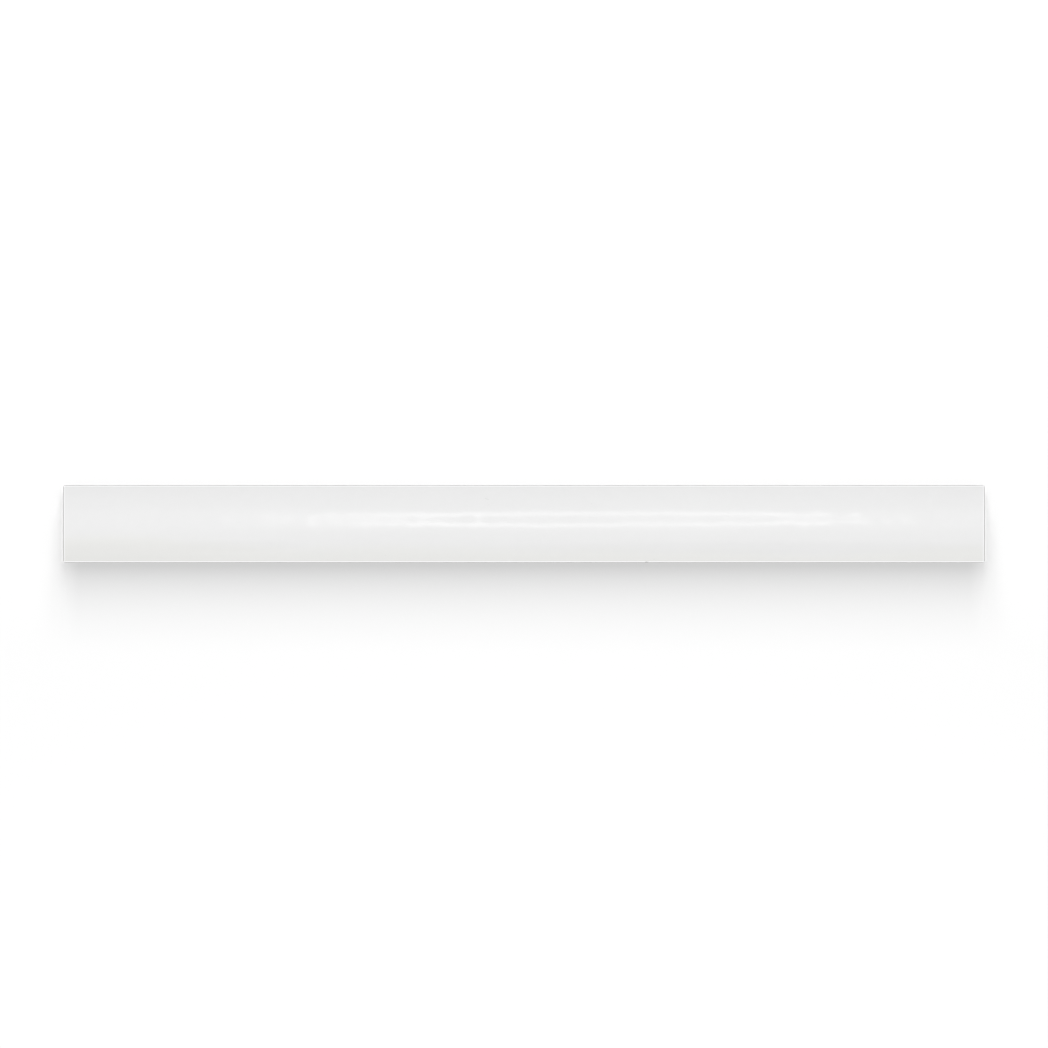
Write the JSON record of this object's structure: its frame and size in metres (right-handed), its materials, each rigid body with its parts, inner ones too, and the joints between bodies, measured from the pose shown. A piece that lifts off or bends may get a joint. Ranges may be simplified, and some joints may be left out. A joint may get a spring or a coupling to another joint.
{
  "type": "porcelain trim tile",
  "caption": "Long narrow trim tile in white glazed porcelain, with a shallow crowned face, small rolled edges, square ends and a flat back keyed with lengthwise grooves.",
  "frame": {"origin": "middle of the flat back, on the plane that the tile is bedded on", "axes": "+X along the length, +Y across the width, +Z out of the glazed face"},
  "size_m": [0.3016, 0.0254, 0.011],
  "materials": {
    "porcelain_glaze": "gloss"
  },
  "bodies": {
    "root": {"trim_tile": "porcelain_glaze"}
  },
  "joints": []
}
